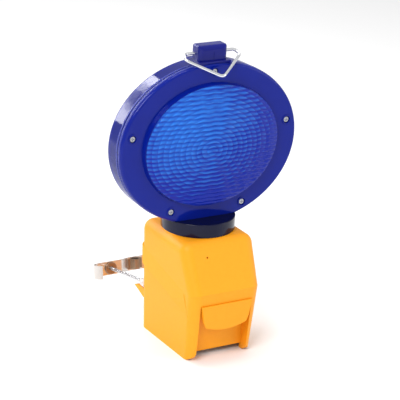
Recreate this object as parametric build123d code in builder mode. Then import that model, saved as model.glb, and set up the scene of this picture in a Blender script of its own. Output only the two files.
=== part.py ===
"""Road-works warning lamp: an oval two-faced lens head that swivels on a battery hood, with a post clamp.

Millimetres, +Z up, the lamp faces -Y.  The origin is the middle of the battery tray's underside, on the
surface that the lamp stands on and on the swivel axis of the head.
"""
from build123d import *
import os
from math import cos, radians, sin

os.makedirs("parts", exist_ok=True)

# ---------------------------------------------------------------- driving dimensions
HEAD_W, HEAD_H = 219.0, 181.0       # oval lens head
HEAD_Z = 232.0                      # centre of the oval
HEAD_FRONT, HEAD_BACK = -16.7, 14.3  # flange planes
SEAM_FRONT, SEAM_BACK = -9.5, -8.5  # gasket between the two lens shells
LENS_WALL = 2.5
ZONE_W = 165.0                      # raised optic zone, same proportions as the oval
ZONE_STEP, DOME_RISE = 5.0, 8.0     # edge height of the optic zone and the dome on top of it

COLLAR_R = 41.0
COLLAR_Z0, COLLAR_Z1 = 133.0, 148.0
STEM_R, STEM_BORE_R = 14.0, 10.0
SWIVEL_GAP = 0.05                   # running clearance of the stem in the hood

HOOD_Z = 132.5
HOOD_HALF_BOTTOM, HOOD_DRAFT = 40.0, 0.045   # half width at the floor, growth per mm of height
HOOD_BACK = 47.5
CHIN_Y, CHIN_Z = -70.5, 80.5
BROW_Y, TOE_Y = -46.0, -64.7        # front of the top face and of the leg tips
HOOD_WALL = 2.6
HOOD_EDGE_R = 12.0

RECESS_HALF, RECESS_Y, RECESS_Z = 32.0, -53.0, 52.0
RECESS_BOTTOM = 6.5
TAB_TOP, TAB_BOTTOM, TAB_THICK = 67.0, 37.0, 3.0
TAB_Y = -71.6                       # outer face of the latch tab

BATTERY = 67.0                      # square 6 V lantern battery
BATTERY_H = 102.0
BATTERY_Y = 6.5
TRAY_FLOOR = 3.0

RING_WIRE_R = 1.7
LUG_Y, LUG_Z = -4.0, 332.0          # axis of the hanger ring's bar
LUG_HALF = 17.5
LUG_FRONT, LUG_BACK, LUG_TOP = -13.0, 6.0, 341.0
RING_TILT = 33.0                    # below the horizontal, forwards

ROD_X, ROD_R = 34.0, 2.0
ROD_PIVOT_Y, ROD_PIVOT_Z = 52.3, 49.7
ROD_TILT = 10.3                     # the rods sag by this much
STRAP_AT = 82.7                     # distance of the strap along the rods
ROD_LENGTH = 93.0
STRAP_H, STRAP_T = 16.0, 1.5

# ---------------------------------------------------------------- derived values and helpers
OVAL = HEAD_H / HEAD_W
HEAD_R = HEAD_W / 2
ZONE_R = ZONE_W / 2
SCREW_RATIO = 0.897                 # screws stand on an oval this much smaller than the head
SCREW_ANGLES = (12.0, 90.0, 168.0, 242.9, 297.1)
SCREW_SPOTS = [
    (SCREW_RATIO * HEAD_R * cos(radians(a)), SCREW_RATIO * HEAD_R * OVAL * sin(radians(a)) + HEAD_Z)
    for a in SCREW_ANGLES
]
ROD_DIR = (0, cos(radians(ROD_TILT)), -sin(radians(ROD_TILT)))
ROD_UP = (0, sin(radians(ROD_TILT)), cos(radians(ROD_TILT)))


def half_width(z):
    """Half width of the hood at height z."""
    return HOOD_HALF_BOTTOM + HOOD_DRAFT * z


def facing(y):
    """Upright plane at y, drawn in X and Z, whose normal points forwards (-Y)."""
    return Plane.XZ.offset(-y)


def on_rods(along):
    """Plane drawn in X and along the rods, whose normal is square to the rods and points up."""
    start = (0, ROD_PIVOT_Y + along * ROD_DIR[1], ROD_PIVOT_Z + along * ROD_DIR[2])
    return Plane(origin=start, x_dir=(1, 0, 0), z_dir=ROD_UP)


def across_rods(along):
    """Plane square to the rods, whose normal points away from the hood."""
    start = (0, ROD_PIVOT_Y + along * ROD_DIR[1], ROD_PIVOT_Z + along * ROD_DIR[2])
    return Plane(origin=start, x_dir=(1, 0, 0), z_dir=ROD_DIR)


def save(builder, name):
    builder.part.label = name
    export_step(builder.part, f"parts/{name}.step")


# ================================================================ lens head
# Each shell is drawn round, with r along X, at a height that the squash to the oval brings to HEAD_Z.
ROUND_HEAD = Plane((0, 0, HEAD_Z / OVAL))
EDGE_R = 3.0


def lens_shell(face, way, seam):
    """Profile of one shell from its axis to the seam; way is -1 for the front shell, 1 for the rear."""
    step = face + way * ZONE_STEP
    apex = step + way * DOME_RISE
    inner_face = face - way * LENS_WALL
    inner_step = step - way * LENS_WALL
    inner_apex = apex - way * LENS_WALL
    with BuildSketch(ROUND_HEAD) as profile:
        with BuildLine():
            ThreePointArc((0, apex), (ZONE_R * 0.52, apex - way * DOME_RISE * 0.27), (ZONE_R, step))
            Line((ZONE_R, step), (ZONE_R + 1.5, face))
            Line((ZONE_R + 1.5, face), (HEAD_R - EDGE_R, face))
            ThreePointArc(
                (HEAD_R - EDGE_R, face),
                (HEAD_R - EDGE_R * 0.293, face - way * EDGE_R * 0.293),
                (HEAD_R, face - way * EDGE_R),
            )
            Line((HEAD_R, face - way * EDGE_R), (HEAD_R, seam))
            Line((HEAD_R, seam), (HEAD_R - LENS_WALL, seam))
            Line((HEAD_R - LENS_WALL, seam), (HEAD_R - LENS_WALL, inner_face))
            Line((HEAD_R - LENS_WALL, inner_face), (ZONE_R - 0.5, inner_face))
            Line((ZONE_R - 0.5, inner_face), (ZONE_R - 2, inner_step))
            ThreePointArc(
                (ZONE_R - 2, inner_step),
                (ZONE_R * 0.51, inner_apex - way * DOME_RISE * 0.27),
                (0, inner_apex),
            )
            Line((0, inner_apex), (0, apex))
        make_face()
    return profile.sketch


BOSS_R, SCREW_R, SCREW_HEAD_R = 5.5, 1.75, 2.9
COUNTERBORE_R, SCREW_SUNK, SCREW_HEAD_T = 4.1, 1.2, 2.0
FRONT_BOSS_Y = HEAD_FRONT - 0.8
SCREW_HEAD_Y = FRONT_BOSS_Y + SCREW_SUNK
SCREW_TIP_Y = HEAD_BACK - 5
WIRE_HOLE_R = 9.0
HEAD_FLOOR = HEAD_Z - HEAD_H / 2

with BuildPart() as front_lens:
    add(lens_shell(HEAD_FRONT, -1, SEAM_FRONT))
    revolve(axis=Axis((0, 0, HEAD_Z / OVAL), (0, 1, 0)))
    scale(by=(1, 1, OVAL))
    with BuildSketch(facing(FRONT_BOSS_Y)):
        with Locations(*SCREW_SPOTS):
            Circle(BOSS_R)
    extrude(amount=FRONT_BOSS_Y - SEAM_FRONT)
    with BuildSketch(facing(FRONT_BOSS_Y)):
        with Locations(*SCREW_SPOTS):
            Circle(SCREW_R + 0.3)
    extrude(amount=FRONT_BOSS_Y - SEAM_FRONT, mode=Mode.SUBTRACT)
    with BuildSketch(facing(FRONT_BOSS_Y)):
        with Locations(*SCREW_SPOTS):
            Circle(COUNTERBORE_R)
    extrude(amount=-SCREW_SUNK - SCREW_HEAD_T, mode=Mode.SUBTRACT)
    with BuildSketch(Plane.XY.offset(HEAD_FLOOR - 1)):
        Circle(WIRE_HOLE_R)
    extrude(amount=10, mode=Mode.SUBTRACT)

with BuildPart() as rear_lens:
    add(lens_shell(HEAD_BACK, 1, SEAM_BACK))
    revolve(axis=Axis((0, 0, HEAD_Z / OVAL), (0, 1, 0)))
    scale(by=(1, 1, OVAL))
    with BuildSketch(facing(SEAM_BACK)):
        with Locations(*SCREW_SPOTS):
            Circle(BOSS_R)
    extrude(amount=SEAM_BACK - HEAD_BACK + 0.5)
    with BuildSketch(facing(SEAM_BACK)):
        with Locations(*SCREW_SPOTS):
            Circle(SCREW_R + 0.05)
    extrude(amount=SEAM_BACK - SCREW_TIP_Y - 1, mode=Mode.SUBTRACT)
    with BuildSketch(Plane.XY.offset(HEAD_FLOOR - 1)):
        Circle(WIRE_HOLE_R)
    extrude(amount=10, mode=Mode.SUBTRACT)

with BuildPart() as lens_gasket:
    with BuildSketch(facing(SEAM_FRONT)):
        with Locations((0, HEAD_Z)):
            Ellipse(HEAD_R - 0.5, HEAD_H / 2 - 0.5)
            Ellipse(HEAD_R - LENS_WALL, HEAD_H / 2 - LENS_WALL, mode=Mode.SUBTRACT)
        with Locations((0, HEAD_FLOOR)):
            Rectangle(2 * WIRE_HOLE_R, 12, mode=Mode.SUBTRACT)
    extrude(amount=SEAM_FRONT - SEAM_BACK)

with BuildPart() as lens_screws:
    with BuildSketch(facing(SCREW_HEAD_Y)):
        with Locations(*SCREW_SPOTS):
            Circle(SCREW_HEAD_R)
    extrude(amount=-SCREW_HEAD_T)
    with BuildSketch(facing(SCREW_HEAD_Y)):
        with Locations(*SCREW_SPOTS):
            Circle(SCREW_R)
    extrude(amount=SCREW_HEAD_Y - SCREW_TIP_Y)
    with BuildSketch(facing(SCREW_HEAD_Y)):
        with Locations(*SCREW_SPOTS):
            Rectangle(4.2, 0.9)
            Rectangle(0.9, 4.2)
    extrude(amount=-0.8, mode=Mode.SUBTRACT)

# ================================================================ light source
DRIVER_HALF, DRIVER_Z0, DRIVER_Z1 = 30.0, 152.0, 193.0
MAST_HALF, MAST_T = 9.0, 4.0

with BuildPart() as driver_case:
    with BuildSketch(facing(-7)):
        with Locations((0, (DRIVER_Z0 + DRIVER_Z1) / 2)):
            RectangleRounded(2 * DRIVER_HALF, DRIVER_Z1 - DRIVER_Z0, 9)
    extrude(amount=-14)

with BuildPart() as led_mast:
    with BuildSketch(Plane.XY.offset(DRIVER_Z1)):
        Rectangle(2 * MAST_HALF, MAST_T)
    extrude(amount=HEAD_Z + 16 - DRIVER_Z1)
    fillet(led_mast.edges().filter_by(Axis.Y).group_by(Axis.Z)[-1], 4)

with BuildPart() as led_boards:
    for board_y in (-MAST_T / 2 - 1.6, MAST_T / 2):
        with BuildSketch(facing(board_y)):
            with Locations((0, HEAD_Z)):
                Circle(14)
        extrude(amount=-1.6)

LED_SPOTS = [(7 * cos(radians(a)), HEAD_Z + 7 * sin(radians(a))) for a in range(30, 390, 60)]

with BuildPart() as leds:
    for led_y, way in ((-MAST_T / 2 - 1.6, 1), (MAST_T / 2 + 1.6, -1)):
        with BuildSketch(facing(led_y)):
            with Locations(*LED_SPOTS):
                Circle(2.5)
        extrude(amount=way * 4)
    fillet(leds.edges().filter_by(GeomType.CIRCLE).group_by(Axis.Y)[0], 1.8)
    fillet(leds.edges().filter_by(GeomType.CIRCLE).group_by(Axis.Y)[-1], 1.8)

with BuildPart() as photocell:
    with BuildSketch(Plane.XY.offset(DRIVER_Z1)):
        with Locations((20, 0)):
            Circle(2.5)
    extrude(amount=3)
    fillet(photocell.edges().group_by(Axis.Z)[-1], 0.6)

# ================================================================ swivel
with BuildPart() as collar:
    with BuildSketch(Plane.XY.offset(COLLAR_Z0)):
        Circle(COLLAR_R)
    extrude(amount=COLLAR_Z1 - COLLAR_Z0)
    fillet(collar.edges().group_by(Axis.Z)[-1], 1.0)
    with BuildSketch(Plane.XY.offset(COLLAR_Z0)):
        Circle(COLLAR_R - 3)
        Circle(STEM_R + 8, mode=Mode.SUBTRACT)
    extrude(amount=5.5, mode=Mode.SUBTRACT)
    with BuildSketch(Plane.XY.offset(COLLAR_Z0)):
        Circle(STEM_R)
    extrude(amount=COLLAR_Z1 - COLLAR_Z0, mode=Mode.SUBTRACT)
    with BuildSketch(facing(HEAD_FRONT - 0.1)):
        with Locations((0, HEAD_Z)):
            Ellipse(HEAD_R + 0.2, HEAD_H / 2 + 0.2)
    extrude(amount=HEAD_FRONT - HEAD_BACK - 0.2, mode=Mode.SUBTRACT)

NUT_Z0, NUT_Z1, NUT_R = 121.5, 129.3, 20.0
STEM_Z0 = 119.0

with BuildPart() as swivel_stem:
    with BuildSketch(Plane.XY.offset(STEM_Z0)):
        Circle(STEM_R)
        Circle(STEM_BORE_R, mode=Mode.SUBTRACT)
    extrude(amount=HEAD_FLOOR + 1.5 - STEM_Z0)
    with BuildSketch(facing(HEAD_FRONT - 0.1)):
        with Locations((0, HEAD_Z)):
            Ellipse(HEAD_R + 0.2, HEAD_H / 2 + 0.2)
    extrude(amount=HEAD_FRONT - HEAD_BACK - 0.2, mode=Mode.SUBTRACT)

with BuildPart() as swivel_nut:
    with BuildSketch(Plane.XY.offset(NUT_Z0)):
        RegularPolygon(NUT_R, 8)
        Circle(STEM_R, mode=Mode.SUBTRACT)
    extrude(amount=NUT_Z1 - NUT_Z0)

with BuildPart() as swivel_seal:
    with BuildSketch(Plane.XY.offset(COLLAR_Z0)):
        Circle(STEM_R + 14)
        Circle(STEM_R + 11, mode=Mode.SUBTRACT)
    extrude(amount=2.5)
    fillet(swivel_seal.edges().group_by(Axis.Z)[0], 0.8)

WIRE_R = 0.9
with BuildPart() as lead_wires:
    with BuildSketch(Plane.XY.offset(STEM_Z0 + 1)):
        with Locations((-4, 0), (4, 0)):
            Circle(WIRE_R)
    extrude(amount=DRIVER_Z0 - STEM_Z0 - 1)

# ================================================================ hanger
RING_REACH, RING_CORNER, RING_BEND = 36.0, 44.0, 6.0


RIM_TOP = HEAD_Z + HEAD_H / 2


def lug_half(y0, y1, foot_y0, foot_y1, outer):
    """One half of the hanger lug with its foot, seated on the rim; outer picks its far edge in Y."""
    with BuildPart() as half:
        with BuildSketch(facing(y0)):
            with Locations((0, (RIM_TOP + LUG_TOP) / 2 - 3)):
                RectangleRounded(2 * LUG_HALF, LUG_TOP - RIM_TOP + 6, 2.5)
        extrude(amount=y0 - y1)
        fillet(half.edges().filter_by(Axis.X).group_by(Axis.Y)[outer].group_by(Axis.Z)[-1], 5)
        if outer == 0:
            with BuildSketch(Plane.XY.offset(LUG_Z - 6.5)):
                with Locations((0, y0)):
                    Rectangle(0.8, 0.8)
            extrude(amount=8, mode=Mode.SUBTRACT)
        with BuildSketch(Plane.XY.offset(RIM_TOP - 4)):
            with Locations((0, (foot_y0 + foot_y1) / 2)):
                Rectangle(2 * LUG_HALF + 4, foot_y1 - foot_y0)
        extrude(amount=6)
        with BuildSketch(facing(HEAD_FRONT - 3)):
            with Locations((0, HEAD_Z)):
                Ellipse(HEAD_R + 0.05, HEAD_H / 2 + 0.05)
        extrude(amount=HEAD_FRONT - HEAD_BACK - 6, mode=Mode.SUBTRACT)
        with BuildSketch(Plane.YZ.offset(-LUG_HALF - 1)):
            with Locations((LUG_Y, LUG_Z)):
                Circle(RING_WIRE_R + 0.06)
        extrude(amount=2 * LUG_HALF + 2, mode=Mode.SUBTRACT)
    return half


lug_front = lug_half(LUG_FRONT, LUG_Y, HEAD_FRONT + 0.4, LUG_Y, 0)
lug_rear = lug_half(LUG_Y, LUG_BACK, LUG_Y, HEAD_BACK - 3, -1)

ring_plane = Plane(
    origin=(0, LUG_Y, LUG_Z),
    x_dir=(1, 0, 0),
    z_dir=(0, sin(radians(RING_TILT)), -cos(radians(RING_TILT))),
)
with BuildPart() as hanger_ring:
    with BuildLine(ring_plane) as ring_path:
        FilletPolyline((-RING_CORNER, 0), (RING_CORNER, 0), (0, RING_REACH), radius=RING_BEND, close=True)
    with BuildSketch(Plane(ring_path.wire() @ 0, z_dir=ring_path.wire() % 0)):
        Circle(RING_WIRE_R)
    sweep(path=ring_path.wire())

# ================================================================ hood
def hood_block(inset, edge_r):
    """The hood's solid block, drawn in by inset on every face but the floor, with rounded edges."""
    with BuildPart() as block:
        with BuildSketch(Plane.YZ.offset(-60)):
            with BuildLine():
                Polyline(
                    (HOOD_BACK - inset, 0),
                    (HOOD_BACK - inset, HOOD_Z - inset),
                    (BROW_Y + inset, HOOD_Z - inset),
                    (CHIN_Y + inset, CHIN_Z),
                    (TOE_Y + inset, 0),
                    close=True,
                )
            make_face()
        extrude(amount=120)
        with BuildSketch(facing(-90)):
            with BuildLine():
                Polyline(
                    (-HOOD_HALF_BOTTOM + inset, 0),
                    (HOOD_HALF_BOTTOM - inset, 0),
                    (half_width(HOOD_Z) - inset, HOOD_Z),
                    (-half_width(HOOD_Z) + inset, HOOD_Z),
                    close=True,
                )
            make_face()
        extrude(amount=-160, mode=Mode.INTERSECT)
        upright = block.edges().filter_by(lambda edge: abs(edge.tangent_at(0.5).Z) > 0.5)
        fillet(upright + block.faces().sort_by(Axis.Z)[-1].edges(), edge_r)
    return block.part


with BuildPart() as hood_core:
    add(hood_block(HOOD_WALL, HOOD_EDGE_R - HOOD_WALL))
    # the front recess and the latch pocket keep their own walls, so they are left out of the hollow
    with BuildSketch(Plane.XY):
        with Locations((0, (RECESS_Y + HOOD_WALL - 90) / 2)):
            Rectangle(2 * (RECESS_HALF + HOOD_WALL), RECESS_Y + HOOD_WALL + 90)
    extrude(amount=RECESS_Z + HOOD_WALL, mode=Mode.SUBTRACT)
    with BuildSketch(Plane.XY):
        with Locations((0, (TAB_Y + 5.5 + HOOD_WALL - 90) / 2)):
            Rectangle(2 * (RECESS_HALF + HOOD_WALL), TAB_Y + 5.5 + HOOD_WALL + 90)
    extrude(amount=TAB_TOP + HOOD_WALL + 0.4, mode=Mode.SUBTRACT)

slope_len = ((CHIN_Y - BROW_Y) ** 2 + (HOOD_Z - CHIN_Z) ** 2) ** 0.5
SLOPE_N = (0, -(HOOD_Z - CHIN_Z) / slope_len, (BROW_Y - CHIN_Y) / slope_len)
PIN_X, PIN_Z = -18.0, 116.5
PIN_Y = BROW_Y + (HOOD_Z - PIN_Z) * (CHIN_Y - BROW_Y) / (HOOD_Z - CHIN_Z)


def pinhole(depth):
    """Plane square to the sloping front, depth below its surface, at the switch hole."""
    spot = tuple(p - depth * n for p, n in zip((PIN_X, PIN_Y, PIN_Z), SLOPE_N))
    return Plane(origin=spot, x_dir=(1, 0, 0), z_dir=SLOPE_N)


def side_point(spot, proud=0.0):
    """Point on the right side face at a spot (y, z), standing proud of it by the given amount."""
    y, z = spot
    return Vector(half_width(z) + proud, y, z)


BELT_TOP = ((48.7, 102.0), (-50.0, 79.0))
BELT_CREASE = ((-59.0, 53.0), (-15.0, 67.0), (48.7, 82.0))
BELT_PROUD = 2.0
BELT_FADE_Y, BELT_FULL_Y = -59.0, -28.0   # the belt runs out into the front edge

with BuildPart() as side_belts:
    with BuildSketch(Plane.YZ.offset(HOOD_HALF_BOTTOM)):
        with BuildLine():
            Polyline(*BELT_TOP, *BELT_CREASE, close=True)
        make_face()
    extrude(amount=10)
    rear_top, front_top = side_point(BELT_TOP[0]), side_point(BELT_TOP[1])
    low = side_point(BELT_CREASE[1], BELT_PROUD)
    outward = (front_top - rear_top).cross(low - rear_top)
    split(bisect_by=Plane(origin=rear_top, z_dir=outward), keep=Keep.BOTTOM)
    fade_foot = side_point((BELT_FADE_Y, 0.0))
    fade_top = side_point((BELT_FADE_Y, HOOD_Z))
    full = side_point((BELT_FULL_Y, 0.0), BELT_PROUD)
    fade_out = (full - fade_foot).cross(fade_top - fade_foot)
    split(bisect_by=Plane(origin=fade_foot, z_dir=fade_out), keep=Keep.BOTTOM)
    mirror(about=Plane.YZ)
    add(hood_block(-BELT_PROUD, HOOD_EDGE_R + BELT_PROUD), mode=Mode.INTERSECT)

with BuildPart() as hood:
    add(hood_block(0, HOOD_EDGE_R))
    # shallow belts that slope outwards along both sides
    add(side_belts.part)
    with BuildSketch(Plane.XY.offset(HOOD_Z - 16)):
        Circle(COLLAR_R - 0.6)
    extrude(amount=16)
    add(hood_core.part, mode=Mode.SUBTRACT)
    # swivel hole
    with BuildSketch(Plane.XY.offset(HOOD_Z - 20)):
        Circle(STEM_R + SWIVEL_GAP)
    extrude(amount=21, mode=Mode.SUBTRACT)
    # front recess with rounded top corners, and the shallow pocket behind the latch tab
    with BuildSketch(facing(RECESS_Y)):
        with Locations((0, RECESS_Z / 2 - 5)):
            RectangleRounded(2 * RECESS_HALF, RECESS_Z + 10, 4)
    extrude(amount=30, mode=Mode.SUBTRACT)
    with BuildSketch(facing(TAB_Y + 5.5)):
        with Locations((0, (RECESS_Z + TAB_TOP) / 2 - 3)):
            Rectangle(2 * RECESS_HALF + 0.6, TAB_TOP - RECESS_Z + 6.8)
    extrude(amount=30, mode=Mode.SUBTRACT)
    # the panel stops above the floor
    with BuildSketch(facing(RECESS_Y + HOOD_WALL + 1)):
        with Locations((0, RECESS_BOTTOM / 2 - 1)):
            Rectangle(2 * RECESS_HALF, RECESS_BOTTOM + 2)
    extrude(amount=HOOD_WALL + 2, mode=Mode.SUBTRACT)
    # rounded leg tips
    with BuildSketch(Plane.YZ.offset(-60)):
        with BuildLine():
            Line((TOE_Y - 8, 14), (TOE_Y - 1, 14))
            ThreePointArc((TOE_Y - 1, 14), (TOE_Y + 3.2, 4), (TOE_Y + 12, 0))
            Line((TOE_Y + 12, 0), (TOE_Y + 12, -3))
            Line((TOE_Y + 12, -3), (TOE_Y - 8, -3))
            Line((TOE_Y - 8, -3), (TOE_Y - 8, 14))
        make_face()
    extrude(amount=120, mode=Mode.SUBTRACT)
    # switch hole in the sloping front
    with BuildSketch(pinhole(6)):
        Circle(1.1)
    extrude(amount=10, mode=Mode.SUBTRACT)

with BuildPart() as latch_tab:
    with BuildSketch(facing(TAB_Y)):
        with BuildLine():
            Polyline((-25.5, TAB_BOTTOM + 5), (-28.5, TAB_BOTTOM + 12), (-31.7, TAB_TOP), (31.7, TAB_TOP))
            Polyline((31.7, TAB_TOP), (28.5, TAB_BOTTOM + 12), (25.5, TAB_BOTTOM + 5))
            ThreePointArc((25.5, TAB_BOTTOM + 5), (0, TAB_BOTTOM), (-25.5, TAB_BOTTOM + 5))
        make_face()
    extrude(amount=-TAB_THICK)

# ================================================================ battery and its tray
TRAY_HALF, TRAY_CORNER_R = 36.0, 8.0
BATTERY_CORNER_R = 6.0

with BuildPart() as battery_tray:
    with BuildSketch(Plane.XY):
        with Locations((0, BATTERY_Y)):
            RectangleRounded(2 * TRAY_HALF, BATTERY + 6, TRAY_CORNER_R)
    extrude(amount=TRAY_FLOOR)
    with BuildSketch(Plane.XY.offset(TRAY_FLOOR)):
        with Locations((0, BATTERY_Y)):
            RectangleRounded(2 * TRAY_HALF, BATTERY + 6, TRAY_CORNER_R)
            RectangleRounded(BATTERY + 0.6, BATTERY + 0.6, BATTERY_CORNER_R, mode=Mode.SUBTRACT)
    extrude(amount=20)

BATTERY_TOP = TRAY_FLOOR + BATTERY_H
TERMINALS = ((0, BATTERY_Y), (-22, BATTERY_Y - 22))

with BuildPart() as battery:
    with BuildSketch(Plane.XY.offset(TRAY_FLOOR)):
        with Locations((0, BATTERY_Y)):
            RectangleRounded(BATTERY, BATTERY, BATTERY_CORNER_R)
    extrude(amount=BATTERY_H)
    fillet(battery.edges().group_by(Axis.Z)[-1], 2)

SPRING_H = 8.6
with BuildPart() as battery_terminals:
    for x, y in TERMINALS:
        with BuildSketch(Plane.XY.offset(BATTERY_TOP)):
            with Locations((x, y)):
                Circle(6)
                Circle(5, mode=Mode.SUBTRACT)
        with BuildSketch(Plane.XY.offset(BATTERY_TOP + SPRING_H)):
            with Locations((x, y)):
                Circle(3)
                Circle(2, mode=Mode.SUBTRACT)
        loft()

PLATE_Z0, PLATE_Z1 = 114.6, 116.6
PILLARS = ((-27, -14), (27, -14), (-27, 28), (27, 28))

with BuildPart() as contact_plate:
    with BuildSketch(Plane.XY.offset(PLATE_Z0)):
        with Locations((0, 6)):
            RectangleRounded(66, 58, 5)
    extrude(amount=PLATE_Z1 - PLATE_Z0)
    with BuildSketch(Plane.XY.offset(PLATE_Z1)):
        with Locations(*PILLARS):
            Circle(3.5)
    extrude(amount=HOOD_Z - HOOD_WALL - PLATE_Z1)

with BuildPart() as contact_strips:
    with BuildSketch(Plane.XY.offset(PLATE_Z0 - 0.6)):
        with Locations((0, BATTERY_Y + 5), (-22, BATTERY_Y - 17)):
            Rectangle(10, 24)
    extrude(amount=0.6)

# ================================================================ hidden push switch
SWITCH_DEPTH = 3.3                  # just inside the sloping wall

with BuildPart() as switch_body:
    with BuildSketch(pinhole(SWITCH_DEPTH)):
        RectangleRounded(9, 8, 1)
    extrude(amount=-7)
    with BuildSketch(pinhole(SWITCH_DEPTH)):
        Circle(1.3)
    extrude(amount=-3.5, mode=Mode.SUBTRACT)

with BuildPart() as switch_plunger:
    with BuildSketch(pinhole(1.6)):
        Circle(0.8)
    extrude(amount=-3.0)

# ================================================================ rear saddle and post clamp
HORN_X, HORN_T = 36.0, 3.6
SADDLE_Z0, SADDLE_Z1 = 31.0, 42.6
SADDLE_Y = HOOD_BACK + 3.0

with BuildPart() as rear_saddle:
    with BuildSketch(facing(SADDLE_Y)):
        with Locations((0, (SADDLE_Z0 + SADDLE_Z1) / 2)):
            RectangleRounded(2 * HORN_X, SADDLE_Z1 - SADDLE_Z0, 2)
    extrude(amount=SADDLE_Y - HOOD_BACK)
    for side in (-1, 1):
        with BuildSketch(Plane.YZ.offset(side * (HORN_X - HORN_T / 2) - HORN_T / 2)):
            with BuildLine():
                Line((HOOD_BACK + 0.5, SADDLE_Z1), (SADDLE_Y + 15, SADDLE_Z1 - 0.6))
                Line((SADDLE_Y + 15, SADDLE_Z1 - 0.6), (SADDLE_Y + 21, SADDLE_Z1 - 3.2))
                ThreePointArc(
                    (SADDLE_Y + 21, SADDLE_Z1 - 3.2), (SADDLE_Y + 10, SADDLE_Z1 - 6.6), (SADDLE_Y, SADDLE_Z0 + 1)
                )
                Line((SADDLE_Y, SADDLE_Z0 + 1), (HOOD_BACK + 0.5, SADDLE_Z0 + 1))
                Line((HOOD_BACK + 0.5, SADDLE_Z0 + 1), (HOOD_BACK + 0.5, SADDLE_Z1))
            make_face()
        extrude(amount=HORN_T)

SADDLE_SCREWS = ((-22, 36.8), (22, 36.8))
with BuildPart() as saddle_screws:
    with BuildSketch(facing(SADDLE_Y + 1.6)):
        with Locations(*SADDLE_SCREWS):
            Circle(3.5)
    extrude(amount=1.6)
    fillet(saddle_screws.edges().group_by(Axis.Y)[-1], 0.8)

EYE_R, EYE_HALF = 4.0, 1.8
EAR_T = 1.5
PIVOT_PIN_R = 1.5
BRACKET_Z0, BRACKET_Z1 = 45.0, 56.0

with BuildPart() as clamp_bracket:
    with BuildSketch(facing(HOOD_BACK)):
        with Locations((0, (BRACKET_Z0 + BRACKET_Z1) / 2)):
            Rectangle(2 * (ROD_X + EYE_HALF + 0.3 + EAR_T), BRACKET_Z1 - BRACKET_Z0)
            with Locations((-ROD_X, 0), (ROD_X, 0)):
                Rectangle(2 * EYE_HALF + 0.6, 9.4, mode=Mode.SUBTRACT)
    extrude(amount=-1.2)
    for side in (-1, 1):
        for edge in (-1, 1):
            ear = side * ROD_X + edge * (EYE_HALF + 0.3 + EAR_T / 2)
            with BuildSketch(Plane.YZ.offset(ear - EAR_T / 2)):
                with Locations((ROD_PIVOT_Y - 0.3, ROD_PIVOT_Z)):
                    RectangleRounded(9, 8.4, 2)
                with Locations((ROD_PIVOT_Y, ROD_PIVOT_Z)):
                    Circle(PIVOT_PIN_R, mode=Mode.SUBTRACT)
            extrude(amount=EAR_T)

with BuildPart() as clamp_pins:
    for side in (-1, 1):
        reach = EYE_HALF + 0.3 + EAR_T + 0.6
        with BuildSketch(Plane.YZ.offset(side * ROD_X - reach)):
            with Locations((ROD_PIVOT_Y, ROD_PIVOT_Z)):
                Circle(PIVOT_PIN_R)
        extrude(amount=2 * reach)

with BuildPart() as clamp_rods:
    for side in (-1, 1):
        with BuildSketch(Plane.YZ.offset(side * ROD_X - EYE_HALF)):
            with Locations((ROD_PIVOT_Y, ROD_PIVOT_Z)):
                Circle(EYE_R)
        extrude(amount=2 * EYE_HALF)
        with BuildSketch(across_rods(2)):
            with Locations((side * ROD_X, 0)):
                Circle(ROD_R - 0.2)
        extrude(amount=6)
        with BuildSketch(across_rods(5)):
            with Locations((side * ROD_X, 0)):
                Circle(ROD_R)
        extrude(amount=ROD_LENGTH - 5)
        with BuildSketch(Plane.YZ.offset(side * ROD_X - EYE_HALF)):
            with Locations((ROD_PIVOT_Y, ROD_PIVOT_Z)):
                Circle(PIVOT_PIN_R + 0.05)
        extrude(amount=2 * EYE_HALF, mode=Mode.SUBTRACT)

HOOK_R, HOOK_U, HOOK_TURN = 8.0, 50.0, 165.0
JOGGLE = 3.5

with BuildPart() as clamp_strap:
    with BuildSketch(on_rods(STRAP_AT).offset(-STRAP_H / 2)):
        with BuildLine():
            FilletPolyline(
                (-HOOK_U, 0), (-19, 0), (-10, JOGGLE), (10, JOGGLE), (19, 0), (HOOK_U, 0), radius=3
            )
            CenterArc((-HOOK_U, -HOOK_R), HOOK_R, 90, HOOK_TURN)
            CenterArc((HOOK_U, -HOOK_R), HOOK_R, 90, -HOOK_TURN)
        trace(line_width=STRAP_T)
    extrude(amount=STRAP_H)
    with BuildSketch(across_rods(STRAP_AT - 3)):
        with Locations((-ROD_X, 0), (ROD_X, 0)):
            Circle(ROD_R + 0.4)
    extrude(amount=6, mode=Mode.SUBTRACT)

LEAF_T, LEAF_H = 1.0, 12.0
with BuildPart() as clamp_leaf:
    with BuildSketch(on_rods(STRAP_AT + JOGGLE - STRAP_T / 2 - LEAF_T / 2).offset(-LEAF_H / 2)):
        with BuildLine():
            FilletPolyline((-9, 0), (-6, 0), (-2.5, -6), (2.5, -6), (6, 0), (9, 0), radius=1.2)
        trace(line_width=LEAF_T)
    extrude(amount=LEAF_H)

WASHER_R, WASHER_T = 7.5, 2.0
with BuildPart() as strap_washers:
    with BuildSketch(across_rods(STRAP_AT - STRAP_T / 2 - WASHER_T)):
        with Locations((-ROD_X, 0), (ROD_X, 0)):
            Circle(WASHER_R)
            Circle(ROD_R + 0.4, mode=Mode.SUBTRACT)
    extrude(amount=WASHER_T)
    rims = strap_washers.edges().filter_by(GeomType.CIRCLE).filter_by(lambda edge: edge.radius > 5)
    fillet(rims.group_by(Axis.Y)[0], 0.9)

CLAMP_NUT_R, CLAMP_NUT_T = 4.6, 4.0


def clamp_nut(side):
    """Hex nut behind the strap on one rod."""
    with BuildPart() as nut:
        with BuildSketch(across_rods(STRAP_AT + STRAP_T / 2 + 0.3)):
            with Locations((side * ROD_X, 0)):
                RegularPolygon(CLAMP_NUT_R, 6)
                Circle(ROD_R + 0.05, mode=Mode.SUBTRACT)
        extrude(amount=CLAMP_NUT_T)
    return nut


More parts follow.
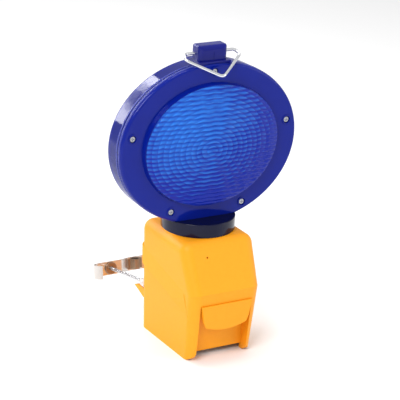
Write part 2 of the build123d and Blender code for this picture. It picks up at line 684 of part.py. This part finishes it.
nut_left = clamp_nut(-1)
nut_right = clamp_nut(1)

# ---------------------------------------------------------------- files
PIECES = {
    "front_lens": front_lens, "rear_lens": rear_lens, "lens_gasket": lens_gasket,
    "lens_screws": lens_screws, "driver_case": driver_case, "led_mast": led_mast,
    "led_boards": led_boards, "leds": leds, "photocell": photocell, "collar": collar,
    "swivel_stem": swivel_stem, "swivel_nut": swivel_nut, "swivel_seal": swivel_seal,
    "lead_wires": lead_wires, "lug_front": lug_front, "lug_rear": lug_rear,
    "hanger_ring": hanger_ring, "hood": hood, "latch_tab": latch_tab,
    "battery_tray": battery_tray, "battery": battery, "battery_terminals": battery_terminals,
    "contact_plate": contact_plate, "contact_strips": contact_strips,
    "switch_body": switch_body, "switch_plunger": switch_plunger, "rear_saddle": rear_saddle,
    "saddle_screws": saddle_screws, "clamp_bracket": clamp_bracket, "clamp_pins": clamp_pins,
    "clamp_rods": clamp_rods, "clamp_strap": clamp_strap, "clamp_leaf": clamp_leaf,
    "strap_washers": strap_washers, "nut_left": nut_left, "nut_right": nut_right,
}
for name, piece in PIECES.items():
    save(piece, name)
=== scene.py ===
"""Looks of the road-works warning lamp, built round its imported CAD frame.

Metres, +Z up, the lamp faces -Y.  Sizes given in millimetres are multiplied by MM where they are used.
"""
import math

import bpy
import numpy as np
from mathutils import Matrix, Vector


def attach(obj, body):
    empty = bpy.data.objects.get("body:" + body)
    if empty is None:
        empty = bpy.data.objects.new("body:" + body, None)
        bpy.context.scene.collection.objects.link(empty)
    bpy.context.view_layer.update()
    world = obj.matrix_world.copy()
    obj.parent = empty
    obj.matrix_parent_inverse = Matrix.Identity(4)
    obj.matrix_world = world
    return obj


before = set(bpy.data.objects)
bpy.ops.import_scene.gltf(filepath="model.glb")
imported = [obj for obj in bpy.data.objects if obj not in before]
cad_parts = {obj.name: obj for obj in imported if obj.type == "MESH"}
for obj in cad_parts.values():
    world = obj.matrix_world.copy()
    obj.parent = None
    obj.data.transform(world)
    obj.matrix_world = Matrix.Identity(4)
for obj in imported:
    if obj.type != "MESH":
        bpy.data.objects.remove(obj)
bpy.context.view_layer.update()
MM = 0.001

HEAD_Z, HEAD_W, HEAD_H = 232.0, 219.0, 181.0
OVAL = HEAD_H / HEAD_W
ZONE_R, DOME_RISE = 82.5, 8.0        # raised optic zone and the dome on it
FRONT_EDGE_Y, REAR_EDGE_Y = -21.7, 19.3  # where each dome meets its zone's edge
SKIN_BACK, SKIN_FRONT = 0.22, 0.42   # the skin's back and its thinnest front, above the dome
RIB, RIB_HIGH = 4.9, 1.1             # spacing and height of the optic ribs
SWAY, SWAY_STEP = 0.3, 2.4           # waviness of the ribs and its step
ARC, ARC_HIGH = 6.4, 0.7             # spacing and height of the optic arcs
ARC_X, ARC_UP = 6.0, 2.0             # the arcs' centre lies this far left of and below the middle
TEETH_Y0, TEETH_Y1 = -13.6, -5.6     # textured band of the rim
FACETS_Y0 = -5.0                     # the faceted part of the rim runs backwards from here
FINE_TEETH, FACETS = 190.0, 48.0     # how many go round the rim in its surface texture
THREAD_PITCH = 0.8
LENS_IOR = 1.49


# ------------------------------------------------------------------ materials
class Look:
    """A Principled material whose colour, roughness and surface vary in object space."""

    def __init__(self, name, metallic=0.0, coat=0.0, ior=1.5):
        self.mat = bpy.data.materials.new(name)
        self.mat.use_nodes = True
        self.nodes, self.links = self.mat.node_tree.nodes, self.mat.node_tree.links
        self.shader = self.nodes["Principled BSDF"]
        self.shader.inputs["Metallic"].default_value = metallic
        self.shader.inputs["Coat Weight"].default_value = coat
        self.shader.inputs["Coat Roughness"].default_value = 0.06
        self.shader.inputs["IOR"].default_value = ior
        self.where = self.nodes.new("ShaderNodeTexCoord").outputs["Object"]
        self.normal = None

    def noise(self, scale, stretch=(1, 1, 1)):
        """Fine noise in object space."""
        place = self.nodes.new("ShaderNodeMapping")
        place.inputs["Scale"].default_value = stretch
        self.links.new(self.where, place.inputs["Vector"])
        tex = self.nodes.new("ShaderNodeTexNoise")
        tex.inputs["Scale"].default_value = scale
        tex.inputs["Detail"].default_value = 4.0
        self.links.new(place.outputs["Vector"], tex.inputs["Vector"])
        return tex.outputs["Fac"]

    def value(self, operation, a, b=0.0, c=0.0):
        """Output of a math node; each argument is a number or a socket."""
        node = self.nodes.new("ShaderNodeMath")
        node.operation = operation
        for socket, given in zip(node.inputs, (a, b, c)):
            if isinstance(given, (int, float)):
                socket.default_value = given
            else:
                self.links.new(given, socket)
        return node.outputs["Value"]

    def xyz(self):
        """Sockets of the place in object space."""
        node = self.nodes.new("ShaderNodeSeparateXYZ")
        self.links.new(self.where, node.inputs["Vector"])
        return node.outputs["X"], node.outputs["Y"], node.outputs["Z"]

    def between(self, factor, low, high):
        """Colour socket that goes from low to high with the factor."""
        mix = self.nodes.new("ShaderNodeMix")
        mix.data_type = "RGBA"
        self.links.new(factor, mix.inputs["Factor"])
        mix.inputs["A"].default_value = (*low, 1)
        mix.inputs["B"].default_value = (*high, 1)
        return mix.outputs["Result"]

    def colour(self, socket):
        """Takes the base colour from a socket."""
        self.links.new(socket, self.shader.inputs["Base Color"])

    def rough(self, factor, low, high):
        """Roughness that goes from low to high with the factor."""
        scaled = self.nodes.new("ShaderNodeMapRange")
        scaled.inputs["To Min"].default_value = low
        scaled.inputs["To Max"].default_value = high
        self.links.new(factor, scaled.inputs["Value"])
        self.links.new(scaled.outputs["Result"], self.shader.inputs["Roughness"])

    def bump(self, height, strength, distance):
        """Adds surface relief on top of any relief given before."""
        node = self.nodes.new("ShaderNodeBump")
        node.inputs["Strength"].default_value = strength
        node.inputs["Distance"].default_value = distance
        self.links.new(height, node.inputs["Height"])
        if self.normal is not None:
            self.links.new(self.normal, node.inputs["Normal"])
        self.normal = node.outputs["Normal"]
        self.links.new(self.normal, self.shader.inputs["Normal"])

    def see_through(self, share, tint):
        """Lets some light straight through, tinted."""
        clear = self.nodes.new("ShaderNodeBsdfTransparent")
        clear.inputs["Color"].default_value = (*tint, 1)
        mix = self.nodes.new("ShaderNodeMixShader")
        mix.inputs["Fac"].default_value = share
        self.links.new(self.shader.outputs["BSDF"], mix.inputs[1])
        self.links.new(clear.outputs["BSDF"], mix.inputs[2])
        self.links.new(mix.outputs["Shader"], self.nodes["Material Output"].inputs["Surface"])


def plain(
    name, low, high, scale, rough, bump, metallic=0.0, coat=0.0, stretch=(1, 1, 1), specular=0.5
):
    """Material with fine mottling between two colours and a fine surface texture.

    rough is (low, high), and bump is (strength, distance in millimetres).
    """
    look = Look(name, metallic, coat)
    look.shader.inputs["Specular IOR Level"].default_value = specular
    grain = look.noise(scale, stretch=stretch)
    look.colour(look.between(look.noise(scale / 12), low, high))
    look.rough(grain, *rough)
    look.bump(grain, bump[0], bump[1] * MM)
    return look


def lens_look(name, low, high, share, rim=False):
    """Clear blue plastic; rim adds the fine texture under the teeth and the facets behind them."""
    look = Look(name, ior=LENS_IOR)
    look.shader.inputs["Specular IOR Level"].default_value = 0.28
    x, y, z = look.xyz()
    look.colour(look.between(look.noise(35), low, high))
    look.rough(look.noise(500), 0.06, 0.13)
    if rim:
        up = look.value("SUBTRACT", z, HEAD_Z * MM)
        turn = look.value("ARCTAN2", up, look.value("MULTIPLY", x, OVAL))
        skew = look.value("SINE", look.value("MULTIPLY", y, 1400.0))
        teeth = look.value("SINE", look.value("MULTIPLY_ADD", turn, FINE_TEETH, skew))
        past_front = look.value("GREATER_THAN", y, TEETH_Y0 * MM)
        before_back = look.value("LESS_THAN", y, TEETH_Y1 * MM)
        band = look.value("MULTIPLY", past_front, before_back)
        look.bump(look.value("MULTIPLY", teeth, band), 0.7, 0.5 * MM)
        facets = look.value("SINE", look.value("MULTIPLY", turn, FACETS))
        rearward = look.value("GREATER_THAN", y, FACETS_Y0 * MM)
        look.bump(look.value("MULTIPLY", facets, rearward), 0.12, 0.3 * MM)
    look.bump(look.noise(160), 0.08, 0.4 * MM)
    look.see_through(share, (0.03, 0.06, 0.75))
    return look


STEEL = {"metallic": 1.0}
LOOKS = {
    "front_blue": lens_look("front_blue", (0.001, 0.010, 0.24), (0.002, 0.015, 0.30), 0.18, rim=True),
    "rear_blue": lens_look("rear_blue", (0.008, 0.014, 0.17), (0.016, 0.026, 0.25), 0.3, rim=True),
    "teeth_blue": lens_look("teeth_blue", (0.02, 0.03, 0.26), (0.04, 0.06, 0.36), 0.12),
    "lug_blue": lens_look("lug_blue", (0.005, 0.008, 0.16), (0.010, 0.014, 0.24), 0.2),
}
# name: darker colour, lighter colour, noise scale, roughness, surface relief, anything else
PLAIN = {
    "collar_navy": ((0.001, 0.002, 0.016), (0.003, 0.004, 0.03), 600, (0.06, 0.13), (0.05, 0.1),
                    {"specular": 0.25}),
    "yellow": ((0.90, 0.34, 0.006), (0.95, 0.37, 0.010), 2600, (0.42, 0.55), (0.22, 0.12),
               {"specular": 0.3}),
    "zinc": ((0.72, 0.73, 0.76), (0.86, 0.87, 0.9), 900, (0.1, 0.24), (0.08, 0.06), STEEL),
    "strap": ((0.55, 0.50, 0.46), (0.82, 0.79, 0.76), 500, (0.2, 0.42), (0.2, 0.08),
              {"metallic": 1.0, "stretch": (0.15, 1, 3)}),
    "screw": ((0.3, 0.31, 0.36), (0.5, 0.51, 0.56), 900, (0.15, 0.3), (0.08, 0.06), STEEL),
    "bronze": ((0.22, 0.14, 0.09), (0.38, 0.27, 0.18), 700, (0.25, 0.45), (0.2, 0.08), STEEL),
    "thread": ((0.62, 0.63, 0.66), (0.86, 0.87, 0.9), 900, (0.12, 0.25), (0.05, 0.05), STEEL),
    "black": ((0.008, 0.008, 0.012), (0.02, 0.02, 0.026), 1500, (0.35, 0.5), (0.15, 0.08), {}),
    "seal": ((0.006, 0.008, 0.03), (0.012, 0.014, 0.045), 1800, (0.5, 0.7), (0.2, 0.1), {}),
    "board": ((0.55, 0.58, 0.55), (0.7, 0.72, 0.7), 900, (0.3, 0.5), (0.1, 0.05), {}),
    "led": ((0.55, 0.62, 0.72), (0.75, 0.8, 0.88), 900, (0.08, 0.15), (0.05, 0.05), {"coat": 0.5}),
    "copper": ((0.5, 0.1, 0.03), (0.62, 0.16, 0.05), 900, (0.3, 0.5), (0.1, 0.05), {}),
    "brass": ((0.6, 0.42, 0.16), (0.76, 0.56, 0.24), 900, (0.2, 0.35), (0.1, 0.05), STEEL),
    "case": ((0.03, 0.035, 0.045), (0.05, 0.055, 0.07), 700, (0.3, 0.5), (0.15, 0.08), {}),
    "red": ((0.2, 0.02, 0.008), (0.28, 0.035, 0.012), 1200, (0.3, 0.45), (0.15, 0.05), {}),
}
for name, (*settings, extra) in PLAIN.items():
    LOOKS[name] = plain(name, *settings, **extra)

threads = LOOKS["thread"]
_, along, _ = threads.xyz()
phase = threads.value("MULTIPLY", along, 2 * math.pi / (THREAD_PITCH * MM))
threads.bump(threads.value("SINE", phase), 0.5, 0.25 * MM)

USES = {
    "front_blue": ("front_lens",),
    "rear_blue": ("rear_lens",),
    "lug_blue": ("lug_front", "lug_rear"),
    "collar_navy": ("collar", "swivel_stem"),
    "yellow": ("hood", "latch_tab", "battery_tray", "rear_saddle"),
    "screw": ("lens_screws",),
    "zinc": ("hanger_ring", "saddle_screws", "nut_left", "nut_right"),
    "thread": ("clamp_rods",),
    "strap": ("clamp_strap", "clamp_bracket", "clamp_pins"),
    "bronze": ("strap_washers", "clamp_leaf"),
    "black": ("driver_case", "led_mast", "swivel_nut", "contact_plate", "switch_body"),
    "seal": ("lens_gasket", "swivel_seal"),
    "board": ("led_boards",),
    "led": ("leds", "photocell"),
    "copper": ("lead_wires",),
    "brass": ("battery_terminals", "contact_strips"),
    "case": ("battery",),
    "red": ("switch_plunger",),
}
for look, names in USES.items():
    for name in names:
        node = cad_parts[name]
        node.data.materials.clear()
        node.data.materials.append(LOOKS[look].mat)


# ------------------------------------------------------------------ optic skins and rim teeth
def piece(name, points, faces, look, body):
    """Smooth mesh from points in millimetres that rides on a body."""
    mesh = bpy.data.meshes.new(name)
    mesh.from_pydata([tuple(p) for p in np.asarray(points) * MM], [], faces)
    mesh.validate()
    mesh.update()
    mesh.polygons.foreach_set("use_smooth", [True] * len(mesh.polygons))
    mesh.materials.append(look.mat)
    made = bpy.data.objects.new(name, mesh)
    bpy.context.scene.collection.objects.link(made)
    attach(made, body)


def optic_skin(name, way, edge_y, look):
    """Prism-patterned skin over a raised optic zone: wavy level ribs crossed by arcs."""
    turns, rings = 540, 120
    r = np.linspace(0.4, ZONE_R - 0.6, rings)[:, None]
    a = np.linspace(0, 2 * np.pi, turns, endpoint=False)[None, :]
    x, up = r * np.cos(a), OVAL * r * np.sin(a)
    dome = edge_y + way * DOME_RISE * (1 - (r / ZONE_R) ** 2) + 0 * a
    ribs = np.abs(np.sin(np.pi * (up + SWAY * np.sin(x / SWAY_STEP)) / RIB))
    arcs = (np.hypot(x + ARC_X, (up + ARC_UP) / OVAL) % ARC) / ARC
    fade = np.clip((ZONE_R - r) / 3.0, 0.0, 1.0)
    relief = SKIN_FRONT + fade * (RIB_HIGH * ribs + ARC_HIGH * arcs)
    outer = np.stack([x, dome + way * relief, HEAD_Z + up], -1).reshape(-1, 3)
    inner = np.stack([x, dome + way * SKIN_BACK, HEAD_Z + up], -1).reshape(-1, 3)
    n = rings * turns
    faces = []
    for i in range(rings - 1):
        for k in range(turns):
            p, q = i * turns + k, i * turns + (k + 1) % turns
            faces.append((p, q, q + turns, p + turns))
            faces.append((n + p, n + p + turns, n + q + turns, n + q))
    for ring, flip in ((0, False), (rings - 1, True)):
        for k in range(turns):
            p, q = ring * turns + k, ring * turns + (k + 1) % turns
            faces.append((p, n + p, n + q, q) if flip else (p, q, n + q, n + p))
    piece(name, np.concatenate([outer, inner]), faces, look, "head")


def optic_look(name, share):
    """Blue with painted light, from azure at the upper left, as if lit from there, to violet at the
    right; painted highlights make the ribs' crests the lightest, and the painted light fades towards the
    zone's edge.
    """
    look = Look(name, ior=LENS_IOR)
    look.shader.inputs["Specular IOR Level"].default_value = 0.3
    x, _, z = look.xyz()
    up = look.value("SUBTRACT", z, HEAD_Z * MM)

    def oval_radius(right, above):
        """Distance from the middle, measured so that the zone's edge has one radius all round."""
        tall = look.value("POWER", look.value("DIVIDE", above, OVAL), 2.0)
        return look.value("SQRT", look.value("ADD", look.value("POWER", right, 2.0), tall))

    # Painted light: the colour gets lighter towards the left and the top, as if lit from the upper left.
    painted_light_across = look.value("MULTIPLY_ADD", x, -4.2, 0.16)
    painted_light_slant = look.value("MULTIPLY_ADD", up, 6.0, painted_light_across)
    ripple = look.value("SINE", look.value("DIVIDE", x, SWAY_STEP * MM))
    sway = look.value("MULTIPLY", ripple, SWAY * MM)
    turn = look.value("MULTIPLY", look.value("ADD", up, sway), math.pi / (RIB * MM))
    # Painted highlight: the ribs' crests are made lighter, stepped by the arcs.
    painted_crest_highlight = look.value("POWER", look.value("ABSOLUTE", look.value("SINE", turn)), 1.5)
    reach = oval_radius(look.value("ADD", x, ARC_X * MM), look.value("ADD", up, ARC_UP * MM))
    arcs = look.value("FRACT", look.value("DIVIDE", reach, ARC * MM))
    painted_rib_highlight = look.value("MULTIPLY", painted_crest_highlight, look.value("MULTIPLY_ADD", arcs, 0.8, 0.35))
    painted_light_level = look.value("SUBTRACT", look.value("MULTIPLY_ADD", painted_rib_highlight, 0.62, painted_light_slant), 0.36)
    # Random mottling is added on top of the painted light.
    mottle_and_painted_light = look.value("MULTIPLY_ADD", look.noise(90), 0.5, painted_light_level)
    # The painted light fades towards the zone's edge, so the colour is darker there.
    edge = look.value("POWER", look.value("DIVIDE", oval_radius(x, up), ZONE_R * MM), 4.0)
    factor = look.value("MULTIPLY_ADD", edge, -0.45, mottle_and_painted_light)
    clipped = look.value("MAXIMUM", look.value("MINIMUM", factor, 1.0), 0.0)
    look.colour(look.between(clipped, (0.010, 0.030, 0.42), (0.035, 0.30, 1.0)))
    look.rough(look.noise(400), 0.1, 0.2)
    look.bump(look.noise(700), 0.1, 0.2 * MM)
    look.see_through(share, (0.06, 0.14, 0.85))
    return look


optic_skin("front_optic", -1, FRONT_EDGE_Y, optic_look("front_optic", 0.3))
optic_skin("rear_optic", 1, REAR_EDGE_Y, optic_look("rear_optic", 0.3))


def rim_band(name, y0, y1):
    """Prism teeth round the head's rim between two depths; the ridges meander as they cross the band."""
    teeth, per_tooth, rows = 200, 8, 9
    foot, height, depth, run_out = 0.08, 0.5, 0.6, 0.5
    turns = teeth * per_tooth
    a = np.linspace(0, 2 * np.pi, turns, endpoint=False)[None, :]
    y = np.linspace(y0, y1, rows)[:, None]
    ends = np.clip(np.minimum(y - y0, y1 - y) / run_out, 0.0, 1.0)
    wave = 0.5 + 0.5 * np.sin(teeth * a + 1.6 * np.sin(2.2 * y))
    outer_r = HEAD_W / 2 + foot + height * ends * wave
    inner_r = HEAD_W / 2 - depth + 0 * outer_r
    sheets = []
    for r in (outer_r, inner_r):
        x = np.clip(r * np.cos(a), -HEAD_W / 2 + 0.02, HEAD_W / 2 - 0.02)
        sheets.append(np.stack([x, y + 0 * r, HEAD_Z + OVAL * r * np.sin(a)], -1).reshape(-1, 3))
    n = rows * turns
    faces = []
    for i in range(rows - 1):
        for k in range(turns):
            p, q = i * turns + k, i * turns + (k + 1) % turns
            faces.append((p, p + turns, q + turns, q))
            faces.append((n + p, n + q, n + q + turns, n + p + turns))
    for row, flip in ((0, True), (rows - 1, False)):
        for k in range(turns):
            p, q = row * turns + k, row * turns + (k + 1) % turns
            faces.append((p, q, n + q, n + p) if flip else (p, n + p, n + q, q))
    piece(name, np.concatenate(sheets), faces, LOOKS["teeth_blue"], "head")


rim_band("front_rim_teeth", -13.3, -9.7)
rim_band("rear_rim_teeth", -8.3, -5.4)

# ------------------------------------------------------------------ camera
YAW, PITCH, ROLL = math.radians(31.7), math.radians(20.4), math.radians(3.4)
FOCAL, SENSOR = 4.50125, 36.0        # focal length in picture widths, sensor width in millimetres
SHIFT_X, SHIFT_Y = 0.0065, -0.1507   # framing offsets in picture widths
AWAY = 1.9522                        # metres from the target to the camera
target = Vector((0, 0, 0.23175))
look_dir = Vector(
    (math.sin(YAW) * math.cos(PITCH), math.cos(YAW) * math.cos(PITCH), -math.sin(PITCH))
)
level = Vector((math.cos(YAW), -math.sin(YAW), 0))
upward = level.cross(look_dir)
right = math.cos(ROLL) * level + math.sin(ROLL) * upward
top = math.cos(ROLL) * upward - math.sin(ROLL) * level
eye = target - AWAY * (look_dir + (SHIFT_X / FOCAL) * right - (SHIFT_Y / FOCAL) * top)

camera_data = bpy.data.cameras.new("camera")
camera_data.sensor_width = SENSOR
camera_data.lens = FOCAL * SENSOR
camera_data.clip_start, camera_data.clip_end = 0.05, 50.0
camera = bpy.data.objects.new("camera", camera_data)
bpy.context.scene.collection.objects.link(camera)
facing = Matrix((right, top, -look_dir)).transposed().to_4x4()
camera.matrix_world = Matrix.Translation(eye) @ facing
bpy.context.scene.camera = camera


# ------------------------------------------------------------------ floor and light
def lamp(name, spot, aim, size, watts, roll=0.0):
    """Soft rectangular light at a spot, aimed at a point and rolled by some degrees."""
    light = bpy.data.lights.new(name, "AREA")
    light.shape = "RECTANGLE"
    light.size, light.size_y = size
    light.energy = watts
    made = bpy.data.objects.new(name, light)
    made.location = spot
    facing = (Vector(aim) - Vector(spot)).to_track_quat("-Z", "Y").to_matrix()
    made.rotation_euler = (facing @ Matrix.Rotation(math.radians(roll), 3, "Z")).to_euler()
    bpy.context.scene.collection.objects.link(made)


lamp("key", (-1.3, -0.9, 1.7), (0, 0, 0.2), (0.9, 0.9), 27)
lamp("rim_left", (-0.51, 1.28, 0.83), (0, 0, 0.25), (1.15, 0.22), 13, roll=-40)
lamp("fill_right", (1.5, -1.1, 0.7), (0, 0, 0.15), (0.8, 1.0), 5)
lamp("top", (0.1, 0.2, 1.9), (0, 0, 0.2), (0.8, 0.5), 8)

world = bpy.data.worlds.new("studio")
bpy.context.scene.world = world
world.use_nodes = True
world.node_tree.nodes["Background"].inputs["Color"].default_value = (1, 1, 1, 1)
world.node_tree.nodes["Background"].inputs["Strength"].default_value = 0.72

floor_mesh = bpy.data.meshes.new("floor")
floor_mesh.from_pydata([(-6, -6, 0), (6, -6, 0), (6, 6, 0), (-6, 6, 0)], [], [(0, 1, 2, 3)])
floor_mesh.materials.append(
    plain("floor", (0.88, 0.88, 0.88), (0.9, 0.9, 0.9), 40, (0.8, 0.9), (0.02, 0.1)).mat
)
floor = bpy.data.objects.new("floor", floor_mesh)
bpy.context.scene.collection.objects.link(floor)

bpy.context.scene.view_settings.view_transform = "Standard"
